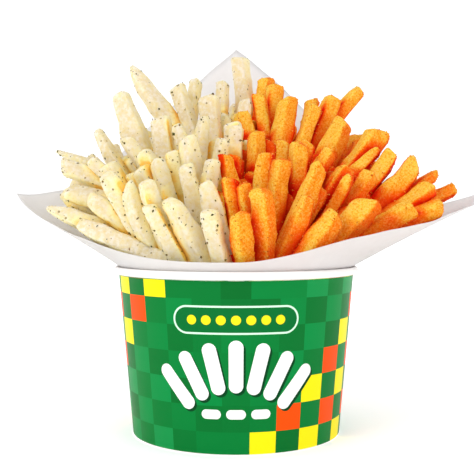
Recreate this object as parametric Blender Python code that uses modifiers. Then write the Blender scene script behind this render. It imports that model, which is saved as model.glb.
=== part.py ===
"""French fries of two flavours in a round paper tub, lined with a sheet of greaseproof paper.

The tub is a cone of board with a rolled rim. Its foot is folded up round the skirt of a
raised base disc. A square sheet of paper lines it and stands out of it in three corners,
left, right and back, with a low lip in front. Two heaps of straight-cut fries fill it
side by side and fan out over the rim, low in front and high behind.

Everything is laid out about the tub's own axis, which stands beside the origin, so that
the whole object's box is centred over the origin. +Z is up and the front faces -Y.
"""
import math

import bmesh
import bpy
import numpy as np
from mathutils import Matrix

MM = 0.001
DEG = math.pi / 180.0

# How far the whole object reaches from the tub's axis, which places that axis.
REACH_LEFT = 137.8 * MM
REACH_RIGHT = 154.4 * MM
REACH_FRONT = 77.0 * MM
REACH_BACK = 142.6 * MM
AXIS_X = (REACH_LEFT - REACH_RIGHT) / 2
AXIS_Y = (REACH_FRONT - REACH_BACK) / 2

# The tub, measured at the outside of its wall.
SEGMENTS = 48
FOOT_R = 60.1 * MM
WALL_TOP_R = 68.2 * MM
WALL_TOP_Z = 92.1 * MM
BOARD = 0.6 * MM
GAP = 0.3 * MM
RIM_R = 71.0 * MM
RIM_HEIGHT = 4.2 * MM
BASE_Z = 8.6 * MM
HEM_HEIGHT = 6.8 * MM
FOLD_R = 0.4 * MM
FOLD_RISE = 0.9 * MM
FOOT_EDGE = 1.6 * MM
BASE_BEND_IN = 1.2 * MM
BASE_BEND_OUT = 0.2 * MM
BASE_BEND_DROP = 0.5 * MM

# The lining paper: its flare over the rim is a length and a rise at each azimuth. Powers
# shape how the lip grows to the corners, how the rise eases, and how corners fall away.
PAPER = 0.4 * MM
LIP_FRONT = 6.4 * MM
GROWTH_LEFT = 3.5
GROWTH_RIGHT = 1.95
EASE_LEFT = 0.9
EASE_RIGHT = 0.75
CORNER_LEFT = 86.0 * MM
CORNER_RIGHT = 101.0 * MM
CORNER_BACK = 172.0 * MM
EDGE_LOW = 65.0 * MM
RISE_FRONT = 66.0
RISE_LEFT = 30.0
RISE_RIGHT = 25.0
RISE_BACK = 64.0
CORNER_AZIMUTH = 15.0
SIDE_SPAN = 20.0
SIDE_POWER = 1.6
BACK_SPAN = 60.0
BACK_POWER = 1.2
CLIMB_POWER = 0.65
CLIMB_DELAY = 0.15
FLOOR_CORNER = 1.2 * MM
WALL_START = 5.0 * MM
WALL_END = 4.0 * MM

# The fries: straight cut, fanned out of the tub's mouth.
FRY_SIDE = (7.4 * MM, 9.0 * MM)
FRY_SPACING = 9.7 * MM
FAN_R = 60.0 * MM
SPLIT_SLOPE = 0.1
LEAN_SIDE = 61.0
UPRIGHT = 0.08
LEAN_FRONT = 19.0
LEAN_BACK = 25.0
NARROW_BACK = 0.42
ROUND_BACK = 0.65
STAND_MID = 80.0 * MM
STAND_FRONT = 38.0 * MM
STAND_BACK = 58.0 * MM
STAND_SPREAD = (-9.0 * MM, 8.0 * MM)
AIM_SPREAD = 0.08
ROW_STEP = 0.866
GRID_SPREAD = 0.16
FOOT_BELOW = 8.0 * MM
EDGE_SHARE = 0.72
STUB = 14.0 * MM
TIP_WIDTHS = (0.92, 0.8, 0.62, 0.35)
TIP_CHANCES = (0.35, 0.35, 0.2, 0.1)
BOW = 1.6 * MM
ARCH = 2.4 * MM
BENDS_AT = (0.4, 0.78)
CORE_DEPTH = 30.0 * MM
CORE_R = 55.5 * MM
CORE_FOOT_R = 50.0 * MM
CORE_FOOT_Z = 12.0 * MM
CORE_CLEAR = 1.2 * MM
SEED = 11


def wall_radius(z):
    """Outer radius of the tub's wall at height z."""
    return FOOT_R + (WALL_TOP_R - FOOT_R) * z / WALL_TOP_Z


RIM_Z = WALL_TOP_Z + RIM_HEIGHT / 2
RIM_TOP = WALL_TOP_Z + RIM_HEIGHT
WALL_IN_TOP = wall_radius(RIM_Z) - BOARD
RIM_HALF_W = (RIM_R - WALL_IN_TOP) / 2
RIM_MID_R = RIM_R - RIM_HALF_W
FLARE_R = RIM_HEIGHT / 2 + GAP + 0.1 * MM


def clear_scene():
    """Start from an empty scene."""
    for obj in list(bpy.data.objects):
        bpy.data.objects.remove(obj, do_unlink=True)


def new_collection(name):
    """A collection under the scene's own."""
    coll = bpy.data.collections.new(name)
    bpy.context.scene.collection.children.link(coll)
    return coll


def material(name, colour, roughness):
    """A plain Principled finish."""
    mat = bpy.data.materials.new(name)
    mat.use_nodes = True
    bsdf = mat.node_tree.nodes["Principled BSDF"]
    bsdf.inputs["Base Color"].default_value = (*colour, 1.0)
    bsdf.inputs["Roughness"].default_value = roughness
    bsdf.inputs["Metallic"].default_value = 0.0
    return mat


def place(name, mesh, coll, axis, mat):
    """An object of the tub, held on its axis."""
    obj = bpy.data.objects.new(name, mesh)
    coll.objects.link(obj)
    obj.parent = axis
    mesh.materials.append(mat)
    return obj


def smooth(mesh, degrees):
    """Smooth shading, with edges sharper than the angle kept."""
    mesh.shade_smooth()
    mesh.set_sharp_from_angle(angle=degrees * DEG)


def turned(name, profile, closed, coll, axis, mat):
    """A ring or disc turned about the tub's axis from its profile of (radius, height)."""
    verts = [(r, 0.0, z) for r, z in profile]
    edges = [(i, i + 1) for i in range(len(verts) - 1)]
    if closed:
        edges.append((len(verts) - 1, 0))
    mesh = bpy.data.meshes.new(name)
    mesh.from_pydata(verts, edges, [])
    obj = place(name, mesh, coll, axis, mat)
    screw = obj.modifiers.new("turn", "SCREW")
    screw.steps = SEGMENTS
    screw.render_steps = SEGMENTS
    screw.use_merge_vertices = True
    screw.merge_threshold = 0.00001
    screw.use_smooth_shade = True
    return obj


def arc(centre, half_w, half_h, start, stop, count):
    """Points on an ellipse, from one angle to another in degrees."""
    angles = np.linspace(start, stop, count) * DEG
    return [(centre[0] + half_w * math.cos(a), centre[1] + half_h * math.sin(a)) for a in angles]


def tub_wall(coll, axis, mat):
    """Cone of board: rolled rim, wall, and a foot folded up to hold the base disc's skirt."""
    hem_out = 3 * BOARD + 2 * GAP
    rim = arc((RIM_MID_R, RIM_Z), RIM_HALF_W, RIM_HEIGHT / 2, 180, -108, 10)
    outside = [(wall_radius(z), z) for z in (WALL_TOP_Z * 0.5, FOOT_EDGE)]
    fold = [
        (wall_radius(0) - FOLD_R, 0.0),
        (wall_radius(0) - hem_out + FOLD_R, 0.0),
        (wall_radius(0) - hem_out, FOLD_RISE),
    ]
    hem = [
        (wall_radius(HEM_HEIGHT) - hem_out, HEM_HEIGHT),
        (wall_radius(HEM_HEIGHT) - hem_out + BOARD, HEM_HEIGHT),
        (wall_radius(BOARD) - hem_out + BOARD, BOARD),
        (wall_radius(BOARD) - BOARD, BOARD),
    ]
    inside = [(wall_radius(z) - BOARD, z) for z in (BASE_Z, WALL_TOP_Z * 0.5)]
    return turned("tub_wall", rim + outside + fold + hem + inside, True, coll, axis, mat)


def tub_base(coll, axis, mat):
    """Base disc, raised off the ground, with its skirt turned down inside the folded foot."""
    skirt = BOARD + GAP
    foot_z = BOARD + GAP
    top_r = wall_radius(BASE_Z) - skirt
    profile = [
        (0.0, BASE_Z),
        (top_r - BASE_BEND_IN, BASE_Z),
        (top_r - BASE_BEND_OUT, BASE_Z - BASE_BEND_DROP),
        (wall_radius(foot_z) - skirt, foot_z),
        (wall_radius(foot_z) - skirt - BOARD, foot_z),
        (top_r - BOARD - BASE_BEND_OUT, BASE_Z - BOARD - BASE_BEND_DROP),
        (top_r - BOARD - BASE_BEND_IN, BASE_Z - BOARD),
        (0.0, BASE_Z - BOARD),
    ]
    return turned("tub_base", profile, False, coll, axis, mat)


def flap(azimuth):
    """Length and rise (radians) of the paper past the rim, at azimuths in degrees.

    In front the length grows from the lip to the side corners as a power of the turn, and
    the rise eases down by a cosine of another power of it. Behind, each corner falls off to
    the low edge as a power of the turn away from it, and the rise climbs to the back corner:
    on the right by a smooth step, on the left by a power that a short smooth step delays.
    """
    turn = (np.asarray(azimuth, float) + 90.0) % 360.0 - 180.0
    left = turn > 0.0
    away = 180.0 - np.abs(turn)
    side_at = 90.0 + CORNER_AZIMUTH
    corner = np.where(left, CORNER_LEFT, CORNER_RIGHT)
    low_rise = np.where(left, RISE_LEFT, RISE_RIGHT)

    front = np.clip(away / side_at, 0.0, 1.0)
    growth = front ** np.where(left, GROWTH_LEFT, GROWTH_RIGHT)
    ease = (1 - np.cos(math.pi * front ** np.where(left, EASE_LEFT, EASE_RIGHT))) / 2
    front_length = LIP_FRONT + (corner - LIP_FRONT) * growth
    front_rise = RISE_FRONT + (low_rise - RISE_FRONT) * ease

    past = np.clip((away - side_at) / (180.0 - side_at), 0.0, 1.0)
    near_side = np.clip(1 - (away - side_at) / SIDE_SPAN, 0.0, 1.0)
    near_back = np.clip(1 - (180.0 - away) / BACK_SPAN, 0.0, 1.0)
    back_length = (EDGE_LOW + (corner - EDGE_LOW) * near_side ** SIDE_POWER
                   + (CORNER_BACK - EDGE_LOW) * near_back ** BACK_POWER)
    delay = np.clip(past / CLIMB_DELAY, 0.0, 1.0)
    early = past ** CLIMB_POWER * delay * delay * (3 - 2 * delay)
    climb = np.where(left, early, past * past * (3 - 2 * past))
    back_rise = low_rise + (RISE_BACK - low_rise) * climb

    behind = away > side_at
    length = np.where(behind, back_length, front_length)
    rise = np.where(behind, back_rise, front_rise) * DEG
    return length, rise


def loft(rings, closed_top):
    """Faces over a stack of rings: a pole closes the first one, and the last if asked."""
    count = len(rings[0])
    verts = [tuple(np.mean(rings[0], axis=0))]
    for ring in rings:
        verts.extend(map(tuple, ring))
    faces = [(0, 1 + (k + 1) % count, 1 + k) for k in range(count)]
    for level in range(len(rings) - 1):
        low = 1 + level * count
        for k in range(count):
            nxt = (k + 1) % count
            faces.append((low + k, low + nxt, low + count + nxt, low + count + k))
    if closed_top:
        low = 1 + (len(rings) - 1) * count
        verts.append(tuple(np.mean(rings[-1], axis=0)))
        faces.extend((low + k, low + (k + 1) % count, len(verts) - 1) for k in range(count))
    return verts, faces


def liner(coll, axis, mat):
    """Greaseproof paper: it lies on the base, lines the wall and flares over the rim."""
    azimuth = np.arange(SEGMENTS) * 360.0 / SEGMENTS
    cos, sin = np.cos(azimuth * DEG), np.sin(azimuth * DEG)
    length, rise = flap(azimuth)

    def ring(radius, height):
        radius = np.broadcast_to(radius, azimuth.shape)
        height = np.broadcast_to(height, azimuth.shape)
        return np.stack([radius * cos, radius * sin, height], axis=1)

    floor = BASE_Z + GAP
    inner = BOARD + GAP
    wall_r = wall_radius(floor) - inner
    rings = [
        ring(wall_r * 0.5, floor),
        ring(wall_r - 4.0 * MM, floor),
        ring(wall_r - 1.0 * MM, floor + FLOOR_CORNER),
        ring(wall_radius(floor + WALL_START) - inner, floor + WALL_START),
        ring(wall_radius(WALL_TOP_Z * 0.6) - inner, WALL_TOP_Z * 0.6),
        ring(RIM_MID_R - RIM_HALF_W - inner, RIM_Z - WALL_END),
    ]
    for share in (0.0, 0.5, 1.0):
        turn = math.pi - (math.pi / 2 - rise) * share
        rings.append(ring(RIM_MID_R + FLARE_R * np.cos(turn), RIM_Z + FLARE_R * np.sin(turn)))
    start_r = RIM_MID_R - FLARE_R * np.sin(rise)
    start_z = RIM_Z + FLARE_R * np.cos(rise)
    for share in (0.2, 0.5, 0.8, 1.0):
        out = length * share
        rings.append(ring(start_r + out * np.cos(rise), start_z + out * np.sin(rise)))
    verts, faces = loft(rings, False)
    mesh = bpy.data.meshes.new("liner")
    mesh.from_pydata(verts, [], faces)
    obj = place("liner", mesh, coll, axis, mat)
    smooth(mesh, 50)
    shell = obj.modifiers.new("paper", "SOLIDIFY")
    shell.thickness = PAPER
    shell.offset = -1.0
    return obj


def fan(x, y):
    """Direction and standing length of a fry that leaves the tub's mouth at (x, y).

    It leans out from the middle, by an angle that grows with the distance. Behind, the
    fan is narrower and the fries stand taller; in front they are short.
    """
    back = np.clip(y, 0.0, None) / FAN_R
    front = np.clip(-y, 0.0, None) / FAN_R
    wide = np.sign(x) * np.clip(np.abs(x) / FAN_R - UPRIGHT, 0.0, None) / (1 - UPRIGHT)
    lean_x = LEAN_SIDE * wide * (1 - NARROW_BACK * back) * DEG
    lean_y = (LEAN_BACK * back - LEAN_FRONT * front) * DEG
    way = np.stack([np.tan(lean_x), np.tan(lean_y), np.ones_like(x)], axis=-1)
    way /= np.linalg.norm(way, axis=-1, keepdims=True)
    stand = STAND_MID + STAND_BACK * back * (1 - ROUND_BACK * np.abs(wide)) - STAND_FRONT * front
    return way, stand


def mouth_points():
    """Where fries pass the tub's mouth: a close-packed grid, each point a little off it."""
    rng = np.random.default_rng(SEED)
    rows = int(2 * FAN_R / (FRY_SPACING * ROW_STEP)) + 1
    points = []
    for row in range(rows):
        y = -FAN_R + (row + 0.5) * FRY_SPACING * ROW_STEP
        for column in range(-8, 9):
            x = (column + 0.5 * (row % 2)) * FRY_SPACING
            if math.hypot(x, y) <= FAN_R:
                points.append((x, y))
    points = np.array(points)
    return points + rng.uniform(-GRID_SPREAD, GRID_SPREAD, points.shape) * FRY_SPACING


# Fries that make the outline, by hand: (foot, tip, width, point), from the tub's axis.
HERB_SHOW = (
    ((-14, 44, 158), (-69, 54, 222), 8.6, 0.3),
    ((-24, 2, 100), (-73, 24, 199), 9.6, 0.75),
    ((-44, 8, 104), (-108, 18, 163), 7.6, 0.3),
    ((-48, -8, 116), (-112, -12, 128), 8.2, 0.8),
    ((-34, 4, 110), (-88, 14, 178), 8.6, 0.85),
    ((-1, 58, 130), (3, 76, 233), 9.4, 0.9),
    ((-12, 52, 130), (-10, 70, 214), 8.6, 0.85),
)
CHEESE_SHOW = (
    ((34, 34, 150), (80, 44, 206), 8.6, 0.55),
    ((17, 50, 130), (22, 66, 217), 8.8, 0.8),
    ((40, 24, 118), (72, 34, 183), 9.4, 0.8),
    ((46, 14, 112), (91, 24, 178), 9.2, 0.8),
    ((50, 2, 106), (105, 2, 158), 8.8, 0.8),
    ((56, -4, 108), (127, -4, 143), 8.4, 0.5),
    ((54, -20, 108), (117, -26, 129), 9.0, 0.85),
    ((30, 44, 130), (50, 62, 201), 8.6, 0.9),
)


def show_lines(side):
    """The outline fries of one flavour, as arrays of feet, tips, widths and points."""
    rows = HERB_SHOW if side < 0 else CHEESE_SHOW
    feet = np.array([row[0] for row in rows]) * MM
    tips = np.array([row[1] for row in rows]) * MM
    widths = np.array([row[2] for row in rows]) * MM
    points = np.array([row[3] for row in rows])
    return feet, tips, widths, points


def heap_lines(side):
    """Feet, tips, widths and tip widths of one flavour's fries, side -1 or 1.

    Those at the mouth's edge are whole. The others start inside the core.
    """
    rng = np.random.default_rng(SEED + 2 + side)
    mouth = mouth_points()
    mouth = mouth[side * (mouth[:, 0] - SPLIT_SLOPE * mouth[:, 1]) > 0]
    way, stand = fan(mouth[:, 0], mouth[:, 1])
    way = way + rng.normal(0.0, AIM_SPREAD, way.shape)
    way /= np.linalg.norm(way, axis=1, keepdims=True)
    stand = stand + rng.uniform(*STAND_SPREAD, len(stand))
    mouth = np.column_stack([mouth, np.full(len(mouth), RIM_TOP)])
    tips = mouth + way * stand[:, None]
    edge = np.hypot(mouth[:, 0], mouth[:, 1]) / FAN_R
    whole = stand + FOOT_BELOW
    seen = np.where(edge > EDGE_SHARE, whole, np.minimum(CORE_DEPTH + STUB, whole))
    feet = tips - way * seen[:, None]
    widths = rng.uniform(*FRY_SIDE, len(tips))
    points = rng.choice(TIP_WIDTHS, len(tips), p=TIP_CHANCES)

    show_feet, show_tips, show_widths, show_points = show_lines(side)
    spread = np.linalg.norm(tips[:, None] - show_tips[None], axis=2)
    keep = np.ones(len(tips), bool)
    for column in range(len(show_tips)):
        spread[~keep, column] = np.inf
        keep[np.argmin(spread[:, column])] = False
    feet = np.concatenate([show_feet, feet[keep]])
    tips = np.concatenate([show_tips, tips[keep]])
    widths = np.concatenate([show_widths, widths[keep]])
    points = np.concatenate([show_points, points[keep]])
    return feet, tips, widths, points


def section_axes(way, twist):
    """Two unit vectors square to each fry, turned about it by its twist."""
    flat = np.cross(way, (0.0, -1.0, 0.0))
    flat /= np.linalg.norm(flat, axis=1, keepdims=True)
    deep = np.cross(way, flat)
    cos, sin = np.cos(twist)[:, None], np.sin(twist)[:, None]
    return flat * cos + deep * sin, deep * cos - flat * sin


def settle(side, feet, tips, widths, across, deep, bend):
    """Shift fries that would touch the paper or the other flavour until they are clear."""
    steps = np.linspace(0.0, 1.0, 9)[None, :, None]
    split = np.array([side, -side * SPLIT_SLOPE, 0.0]) / math.hypot(1, SPLIT_SLOPE)
    half = widths / 2
    for _ in range(14):
        line = feet[:, None] * (1 - steps) + tips[:, None] * steps
        line = line + bend[:, None] * (4 * steps * (1 - steps))

        reach = half * (np.abs(across @ split) + np.abs(deep @ split)) + GAP
        short = np.max(reach[:, None] - line @ split, axis=1)
        push = np.clip(short, 0.0, None)[:, None] * split

        radius = np.hypot(line[..., 0], line[..., 1])
        azimuth = np.arctan2(line[..., 1], line[..., 0])
        length, rise = flap(azimuth / DEG)
        out = radius - (RIM_MID_R - FLARE_R * np.sin(rise))
        up = line[..., 2] - (RIM_Z + FLARE_R * np.cos(rise))
        along = out * np.cos(rise) + up * np.sin(rise)
        above = up * np.cos(rise) - out * np.sin(rise)
        normal = np.stack([-np.sin(rise) * np.cos(azimuth),
                           -np.sin(rise) * np.sin(azimuth), np.cos(rise)], axis=2)
        reach = half[:, None] * (np.abs(np.einsum("nc,nkc->nk", across, normal))
                                 + np.abs(np.einsum("nc,nkc->nk", deep, normal)))
        short = np.where((along < length + 6 * MM) & (above > -30 * MM),
                         reach + PAPER + 2 * GAP - above, -1.0)
        worst = np.argmax(short, axis=1)
        rows = np.arange(len(feet))
        lift = np.clip(short[rows, worst], 0.0, None)[:, None] * normal[rows, worst]
        move = push + lift * 0.7
        if np.max(np.abs(move)) < 0.02 * MM:
            break
        feet = feet + move
        tips = tips + move
    return feet, tips


def heap_core(side):
    """Smaller core of one flavour: it fills its half of the tub and rises under the tips."""
    tilt = math.atan(SPLIT_SLOPE)
    arc_turn = np.linspace(-90.0, 90.0, 19) * DEG - tilt
    mouth = np.stack([np.cos(arc_turn), np.sin(arc_turn)], axis=1)
    chord = np.linspace(mouth[-1], mouth[0], 9)[1:-1]
    outline = np.concatenate([mouth, chord])
    if side < 0:
        outline = -outline
    inset = np.array([side, -side * SPLIT_SLOPE]) * CORE_CLEAR
    middle = np.mean(outline, axis=0)

    def level(scale, radius, height):
        flat = (middle + (outline - middle) * scale) * radius + inset
        return np.column_stack([flat, np.full(len(flat), height)])

    def raised(scale, share):
        ring = level(scale, CORE_R, RIM_TOP)
        way, stand = fan(ring[:, 0], ring[:, 1])
        return ring + way * ((stand - CORE_DEPTH) * share)[:, None]

    rings = [level(0.6, CORE_FOOT_R, CORE_FOOT_Z), level(1.0, CORE_FOOT_R, CORE_FOOT_Z)]
    rings += [level(1.0, CORE_R, RIM_TOP), raised(1.0, 0.55), raised(1.0, 1.0)]
    rings += [raised(0.7, 1.04), raised(0.35, 1.06)]
    return loft(rings, True)


def fry_template():
    """A unit bar along +Z, cut into the lengths that can bend and taper."""
    bm = bmesh.new()
    bmesh.ops.create_cube(bm, size=1.0, matrix=Matrix.Translation((0.0, 0.0, 0.5)))
    for height in BENDS_AT:
        bmesh.ops.bisect_plane(
            bm, geom=bm.verts[:] + bm.edges[:] + bm.faces[:],
            plane_co=(0.0, 0.0, height), plane_no=(0.0, 0.0, 1.0))
    mesh = bpy.data.meshes.new("fry_template")
    bm.to_mesh(mesh)
    bm.free()
    return mesh


def fry_points(unit, foot, tip, width, point, across, deep, bend):
    """The template's points carried onto one fry: bent by a parabola, narrowed at its tip."""
    height = unit[:, 2]
    narrow = np.interp(height, (0.0, *BENDS_AT, 1.0), (1.0, 1.0, 0.5 + point / 2, point))
    line = foot + (tip - foot) * height[:, None]
    line = line + bend * (4 * height * (1 - height))[:, None]
    return (line + across * (unit[:, 0] * narrow * width)[:, None]
            + deep * (unit[:, 1] * narrow * width)[:, None])


def keep_largest(mesh):
    """Drop loose scraps: only the body with the most faces stays."""
    bm = bmesh.new()
    bm.from_mesh(mesh)
    left = set(bm.faces)
    bodies = []
    while left:
        stack = [left.pop()]
        body = []
        while stack:
            face = stack.pop()
            body.append(face)
            for edge in face.edges:
                for other in edge.link_faces:
                    if other in left:
                        left.remove(other)
                        stack.append(other)
        bodies.append(body)
    bodies.sort(key=len)
    for body in bodies[:-1]:
        bmesh.ops.delete(bm, geom=body, context="FACES")
    bmesh.ops.triangulate(bm, faces=bm.faces[:])
    bm.to_mesh(mesh)
    bm.free()


def heap(name, side, coll, axis, mat):
    """One flavour's fries, fused with their core into one solid."""
    rng = np.random.default_rng(SEED + 20 + side)
    feet, tips, widths, points = heap_lines(side)
    way = tips - feet
    way /= np.linalg.norm(way, axis=1, keepdims=True)
    twist = rng.uniform(0.0, math.pi / 2, len(feet))
    across, deep = section_axes(way, twist)
    bend = across * rng.normal(0.0, BOW, len(feet))[:, None]
    bend[:, 2] += rng.uniform(0.0, ARCH, len(feet))
    feet, tips = settle(side, feet, tips, widths, across, deep, bend)

    verts, faces = heap_core(side)
    mesh = bpy.data.meshes.new(name)
    mesh.from_pydata(verts, [], faces)
    obj = place(name, mesh, coll, axis, mat)

    pieces = new_collection(name + "_pieces")
    template = fry_template()
    unit = np.empty(len(template.vertices) * 3)
    template.vertices.foreach_get("co", unit)
    unit = unit.reshape(-1, 3)
    for k in range(len(feet)):
        fry = template.copy()
        co = fry_points(unit, feet[k], tips[k], widths[k], points[k], across[k], deep[k], bend[k])
        fry.vertices.foreach_set("co", co.ravel())
        piece = bpy.data.objects.new(f"{name}_{k:03d}", fry)
        piece.parent = axis
        pieces.objects.link(piece)

    fuse = obj.modifiers.new("fuse", "BOOLEAN")
    fuse.operation = "UNION"
    fuse.operand_type = "COLLECTION"
    fuse.collection = pieces
    fuse.solver = "MANIFOLD"
    bpy.context.view_layer.update()
    graph = bpy.context.evaluated_depsgraph_get()
    fused = bpy.data.meshes.new_from_object(obj.evaluated_get(graph))
    obj.modifiers.clear()
    obj.data = fused
    for piece in list(pieces.objects):
        bpy.data.objects.remove(piece, do_unlink=True)
    bpy.data.collections.remove(pieces)
    keep_largest(fused)
    fused.shade_flat()
    return obj


def main():
    clear_scene()
    coll = new_collection("fries_tub")
    axis = bpy.data.objects.new("tub_axis", None)
    axis.location = (AXIS_X, AXIS_Y, 0.0)
    coll.objects.link(axis)
    tub_wall(coll, axis, material("printed_board", (0.0, 0.33, 0.08), 0.45))
    tub_base(coll, axis, material("plain_board", (0.86, 0.84, 0.8), 0.6))
    liner(coll, axis, material("greaseproof_paper", (0.87, 0.86, 0.85), 0.5))
    heap("herb_fries", -1, coll, axis, material("herb_fry", (0.86, 0.68, 0.38), 0.6))
    heap("cheese_fries", 1, coll, axis, material("cheese_fry", (0.95, 0.36, 0.03), 0.7))


main()
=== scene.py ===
"""French fries of two flavours in a printed paper tub, lined with a sheet of greaseproof paper.

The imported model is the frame. Its base disc stays and gets a board finish. The wall, the
paper and the two heaps of fries are replaced by finer pieces of the same form, all of them
laid out about the tub's own axis.
"""
import math

import bpy
import numpy as np
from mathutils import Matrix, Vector


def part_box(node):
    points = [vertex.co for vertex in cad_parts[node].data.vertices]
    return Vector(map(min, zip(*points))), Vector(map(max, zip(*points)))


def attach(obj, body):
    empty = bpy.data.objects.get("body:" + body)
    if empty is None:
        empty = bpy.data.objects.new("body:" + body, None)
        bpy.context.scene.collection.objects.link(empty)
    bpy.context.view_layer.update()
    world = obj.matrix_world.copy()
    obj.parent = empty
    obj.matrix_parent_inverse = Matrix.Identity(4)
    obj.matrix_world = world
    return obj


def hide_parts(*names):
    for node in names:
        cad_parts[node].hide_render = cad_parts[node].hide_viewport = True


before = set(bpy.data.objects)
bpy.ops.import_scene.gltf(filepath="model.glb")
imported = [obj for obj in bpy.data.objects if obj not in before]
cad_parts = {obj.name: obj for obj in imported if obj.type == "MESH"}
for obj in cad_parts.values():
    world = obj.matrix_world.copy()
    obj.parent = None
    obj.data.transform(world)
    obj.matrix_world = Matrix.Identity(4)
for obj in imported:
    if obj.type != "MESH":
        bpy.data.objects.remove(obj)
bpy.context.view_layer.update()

# The tub's wall: a cone of white board, printed on its outside and glued at an overlap
# behind. Its top edge is rolled outwards into a bead, and its foot is folded up inside,
# round the skirt of the base disc.
MM = 0.001
DEG = math.pi / 180.0
wall_low, wall_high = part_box("tub_wall")
AXIS = np.array([(wall_low[0] + wall_high[0]) / 2, (wall_low[1] + wall_high[1]) / 2, 0.0])
FOOT_R = 60.1 * MM
WALL_TOP_R = 68.2 * MM
WALL_TOP_Z = 92.1 * MM
BOARD = 0.6 * MM
GAP = 0.3 * MM
RIM_R = 71.0 * MM
RIM_HEIGHT = 4.2 * MM
BASE_Z = 8.6 * MM
HEM_HEIGHT = 6.8 * MM
POINTS_ROUND = 216

# Its glued overlap: place, width and slope in degrees, and the step in mm.
SEAM_AT = 96.0
LAP_WIDTH = 7.0
LAP_EASE = 15.0
LAP_STEP = 0.4

# The print on it, in mm: checks, a fan of bars, a pill with dots, and dashes.
PRINT_R = 64.2
COLUMNS = 27
CHECK_HEIGHT = 14.0
BAR_TURN = 13 * DEG
BAR_PIVOT = 5.0
BAR_FROM, BAR_TO = 42.0, 62.0
BAR_HALF = 3.8
SHADOW = (1.2, 1.3)
PILL_Z = 71.3
PILL_HALF = 25.5
PILL_R = 7.0
DOT_STEP = 7.6
DASH_Z = 21.8
DASH_HALF = 2.8
DASH_STEP = 13.5
ROUND_R = 2.5


def wall_radius(z):
    """Outer radius of the wall at height z: a straight line from foot to top."""
    return FOOT_R + (WALL_TOP_R - FOOT_R) * z / WALL_TOP_Z


RIM_Z = WALL_TOP_Z + RIM_HEIGHT / 2
RIM_TOP = WALL_TOP_Z + RIM_HEIGHT
RIM_HALF_W = (RIM_R - wall_radius(RIM_Z) + BOARD) / 2
RIM_MID_R = RIM_R - RIM_HALF_W
FLARE_R = RIM_HEIGHT / 2 + GAP + 0.1 * MM


def ink(red, green, blue):
    """A colour given as 0 to 255, made linear for the shader."""
    share = np.array([red, green, blue]) / 255.0
    linear = np.where(share <= 0.04045, share / 12.92, ((share + 0.055) / 1.055) ** 2.4)
    return (*linear.tolist(), 1.0)


def in_scene(name, data):
    """A new object with this data, in the scene."""
    obj = bpy.data.objects.new(name, data)
    bpy.context.scene.collection.objects.link(obj)
    return obj


def between_rings(rings, count, closed=False):
    """Corners of the faces between neighbouring rings, each ring of points closed on itself."""
    ring = np.arange(rings if closed else rings - 1)[:, None]
    point = np.arange(count)[None, :]
    after, above = (point + 1) % count, (ring + 1) % rings
    corners = [ring * count + point, ring * count + after, above * count + after, above * count + point]
    return np.stack(corners, axis=2).reshape(-1, 4)


def skin(name, points, faces, uv=None, **values):
    """A smooth mesh object: points about the tub's axis, arrays of face corners, UVs, attributes."""
    points = np.asarray(points, np.float32).reshape(-1, 3) + AXIS.astype(np.float32)
    corners = np.concatenate([face.ravel() for face in faces])
    sizes = np.concatenate([np.full(len(face), face.shape[1]) for face in faces])
    mesh = bpy.data.meshes.new(name)
    mesh.vertices.add(len(points))
    mesh.vertices.foreach_set("co", points.ravel())
    mesh.loops.add(len(corners))
    mesh.loops.foreach_set("vertex_index", corners.astype(np.int32))
    mesh.polygons.add(len(sizes))
    mesh.polygons.foreach_set("loop_start", (np.cumsum(sizes) - sizes).astype(np.int32))
    mesh.update(calc_edges=True)
    if uv is not None:
        mesh.uv_layers.new(name="print").data.foreach_set("uv", uv.astype(np.float32).ravel())
    for key, value in values.items():
        layer = mesh.attributes.new(key, "FLOAT", "POINT")
        layer.data.foreach_set("value", np.asarray(value, np.float32).ravel())
    mesh.shade_smooth()
    return in_scene(name, mesh)


def fit(obj, paint, slot, *nodes):
    """Give the piece its finish, put it on the part, and let it stand for its nodes. The slot is not used."""
    obj.data.materials.append(paint.material)
    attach(obj, "root")
    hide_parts(*nodes)


class Value:
    """One output of a finish's nodes. Arithmetic on it adds Math nodes."""

    def __init__(self, paint, socket):
        self.paint = paint
        self.socket = socket

    def math(self, operation, *others):
        return self.paint.node("ShaderNodeMath", {"operation": operation}, dict(enumerate((self, *others))))

    def __add__(self, other):
        return self.math("ADD", other)

    def __sub__(self, other):
        return self.math("SUBTRACT", other)

    def __rsub__(self, other):
        return self.math("MULTIPLY_ADD", -1.0, other)

    def __mul__(self, other):
        return self.math("MULTIPLY", other)

    def __truediv__(self, other):
        return self.math("DIVIDE", other)

    def __rtruediv__(self, other):
        return self.math("POWER", -1.0) * other

    __radd__ = __add__
    __rmul__ = __mul__

    def __gt__(self, other):
        return self.math("GREATER_THAN", other)

    def __lt__(self, other):
        return self.math("LESS_THAN", other)

    def __abs__(self):
        return self.math("ABSOLUTE")

    def between(self, low, high):
        """The value held between two numbers."""
        return self.math("MAXIMUM", low).math("MINIMUM", high)

    def from_nearest(self, step, most):
        """What is left of the value after the nearest whole number of steps, up to so many."""
        return self - (self / step).math("ROUND").between(-most, most) * step


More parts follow.
